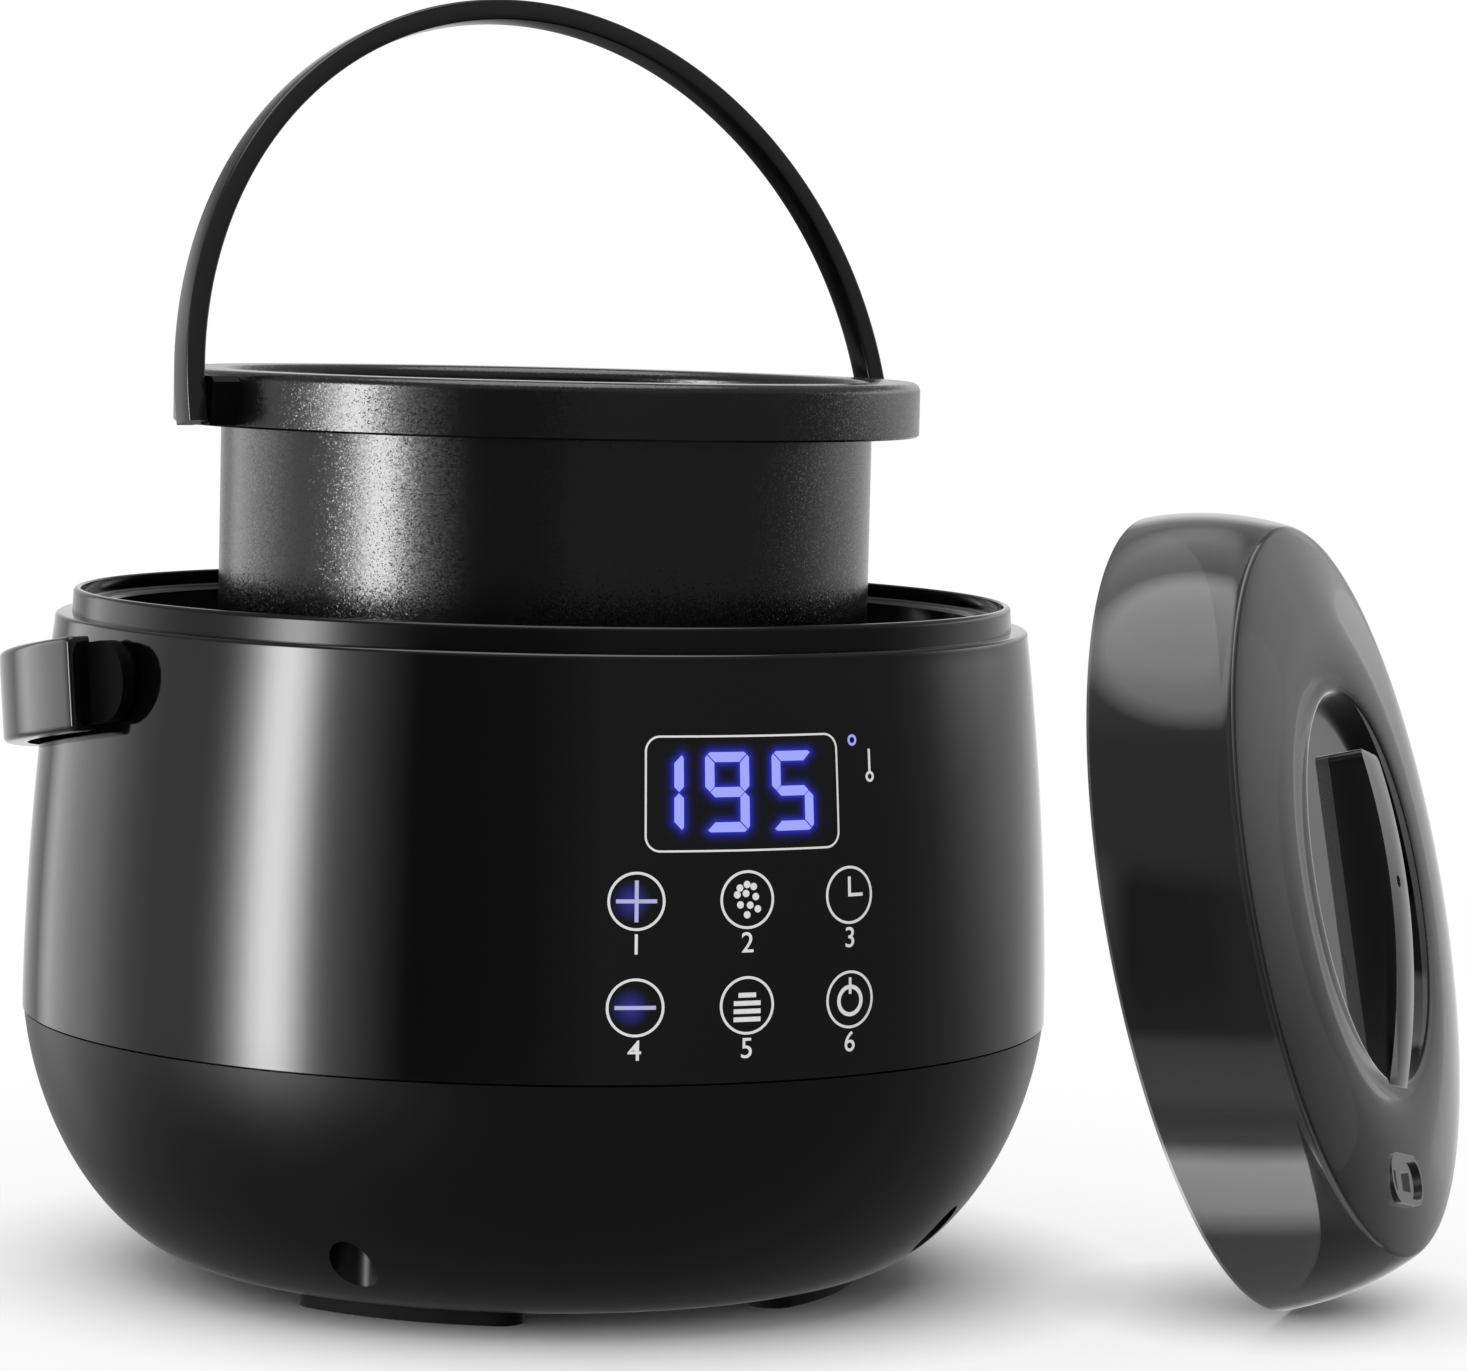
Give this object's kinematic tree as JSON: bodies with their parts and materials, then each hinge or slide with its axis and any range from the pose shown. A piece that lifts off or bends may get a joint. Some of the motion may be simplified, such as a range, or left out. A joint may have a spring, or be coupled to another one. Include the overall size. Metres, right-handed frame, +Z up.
{
  "type": "candle wax melter",
  "caption": "Round heated wax melter with touch panel, drop-in non-stick pot with bail, swinging carry handle and smoke-clear lid standing beside it.",
  "frame": {"origin": "on the table under the middle of the body, in the plane of the feet", "axes": "+Z up; X along the pivots of the carry handle and the bail; -Y is the side the user faces, with the touch panel turned 12 degrees from -Y toward -X as pictured; +Y is the back, where the carry handle hangs"},
  "size_m": [0.2713, 0.2613, 0.2467],
  "materials": {
    "gloss_black": "deep gloss",
    "satin_black": "fine satin",
    "nonstick_aluminium": "speckled non-stick coating",
    "bare_aluminium": "spun",
    "steel": "plain",
    "fibre": "felted",
    "board": "circuit board",
    "part_dark": "moulded",
    "rubber_black": "matt",
    "smoke_clear": "smoke-tinted clear plastic, gloss"
  },
  "bodies": {
    "base": {"lower_shell": "satin_black", "upper_shell": "gloss_black", "top_ring": "satin_black", "heat_chamber": "bare_aluminium", "heater_plate": "bare_aluminium", "heating_element": "steel", "insulation_sleeve": "fibre", "temp_sensor": "steel", "thermal_fuse": "steel", "control_board": "board", "display_module": "part_dark", "touch_pads": "rubber_black", "power_board": "board", "transformer": "part_dark", "relay": "part_dark", "power_inlet": "satin_black", "feet": "rubber_black", "base_screws": "steel", "chamber_screws": "steel", "board_screws": "steel", "bush_left": "satin_black", "bush_right": "satin_black"},
    "carry": {"carry_handle": "satin_black", "handle_cover": "gloss_black", "pivot_screws": "steel"},
    "pot_body": {"pot": "nonstick_aluminium", "bail_ears": "gloss_black"},
    "bail_body": {"bail": "gloss_black"},
    "lid_body": {"lid": "smoke_clear", "steam_vent": "satin_black"}
  },
  "joints": [
    {"name": "carry_swing", "type": "hinge", "parent": "base", "child": "carry", "pos_m": [0, 0, 0.117], "axis": [1, 0, 0], "range_deg": [0, 78]},
    {"name": "pot_lift", "type": "slide", "parent": "base", "child": "pot_body", "axis": [0, 0, 1], "range_m": [-0.0438, 0]},
    {"name": "bail_swing", "type": "hinge", "parent": "pot_body", "child": "bail_body", "pos_m": [0, 0, 0.1688], "axis": [1, 0, 0], "range_deg": [-77, 101]},
    {"name": "lid_lift", "type": "slide", "parent": "base", "child": "lid_body", "axis": [0, 0, 1], "range_m": [0, 0.2]}
  ]
}
